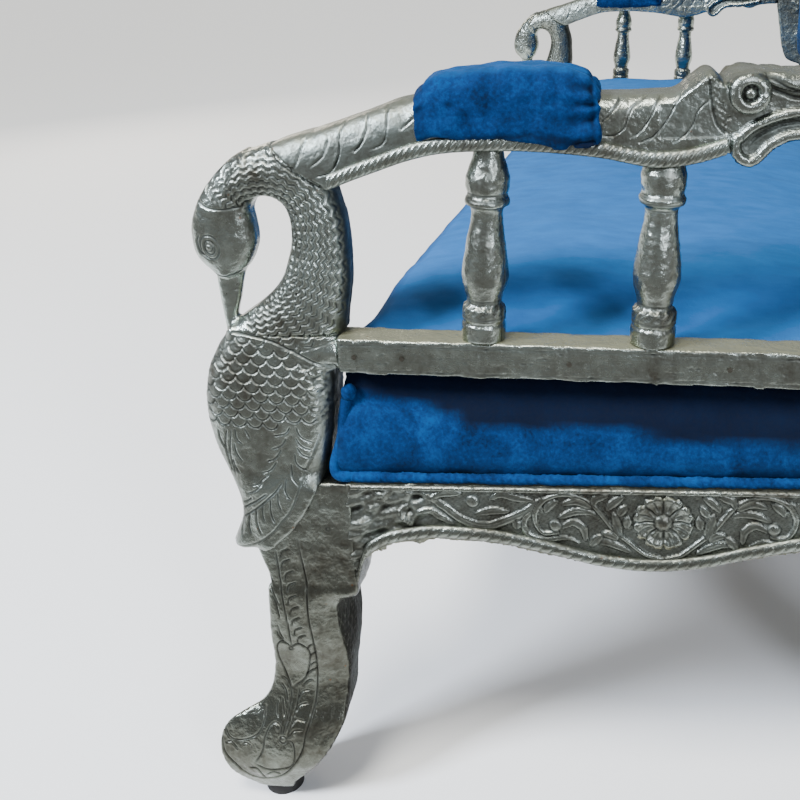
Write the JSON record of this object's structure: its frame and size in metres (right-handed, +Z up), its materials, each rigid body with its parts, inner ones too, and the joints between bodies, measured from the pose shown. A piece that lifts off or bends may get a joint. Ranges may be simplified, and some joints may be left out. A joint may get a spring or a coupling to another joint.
{
  "type": "sofa",
  "caption": "Two-seat sofa of carved wood clad in white metal, with bird-headed arm fronts, turned spindles, cabriole legs and a blue velvet seat, back and arm pads.",
  "frame": {"origin": "on the floor under the middle of the sofa's bounding box", "axes": "+Z up, -Y to the front, X along the seat"},
  "size_m": [1.6238, 0.7503, 0.975],
  "materials": {
    "metal_sheet": "chased white metal sheet, satin, dark in its grooves",
    "metal_moulding": "white metal sheet, worn bright on its ridges",
    "screw_steel": "dull, partly rusted",
    "wood": "oiled hardwood",
    "velvet": "short-pile velvet",
    "back_velvet": "plain woven lining",
    "black_cloth": "thin woven dust cloth",
    "foam": "open-cell seat foam",
    "foot_rubber": "dull"
  },
  "bodies": {
    "root": {"front_leg_right": "metal_sheet", "front_leg_left": "metal_sheet", "rear_leg_right": "metal_sheet", "rear_leg_left": "metal_sheet", "foot_pad_front_right": "foot_rubber", "foot_pad_front_left": "foot_rubber", "foot_pad_rear_right": "foot_rubber", "foot_pad_rear_left": "foot_rubber", "bird_post_right": "metal_sheet", "bird_post_left": "metal_sheet", "arm_rail_right": "metal_sheet", "arm_rail_left": "metal_sheet", "arm_rope_right": "metal_moulding", "arm_rope_left": "metal_moulding", "lower_rail_right": "metal_sheet", "lower_rail_left": "metal_sheet", "front_spindle_right": "metal_moulding", "front_spindle_left": "metal_moulding", "rear_spindle_right": "metal_moulding", "rear_spindle_left": "metal_moulding", "arm_pad_right": "velvet", "arm_pad_left": "velvet", "side_apron_right": "metal_sheet", "side_apron_left": "metal_sheet", "front_apron": "metal_sheet", "rear_apron": "metal_sheet", "apron_ropes_right": "metal_moulding", "apron_ropes_left": "metal_moulding", "apron_ropes_front": "metal_moulding", "apron_ropes_rear": "metal_moulding", "side_seat_rail_right": "wood", "side_seat_rail_left": "wood", "front_seat_rail": "wood", "rear_seat_rail": "wood", "corner_braces": "wood", "brace_screws": "screw_steel", "seat_slats": "wood", "dust_cover": "black_cloth", "seat_board": "wood", "seat_foam": "foam", "seat_cover": "velvet", "seat_piping": "velvet", "back_stile_right": "metal_sheet", "back_stile_left": "metal_sheet", "back_bottom_rail": "metal_sheet", "back_crest_rail": "metal_sheet", "back_board": "wood", "back_pad": "velvet", "back_piping": "velvet", "back_cloth": "back_velvet", "rail_nails": "screw_steel"}
  },
  "joints": []
}
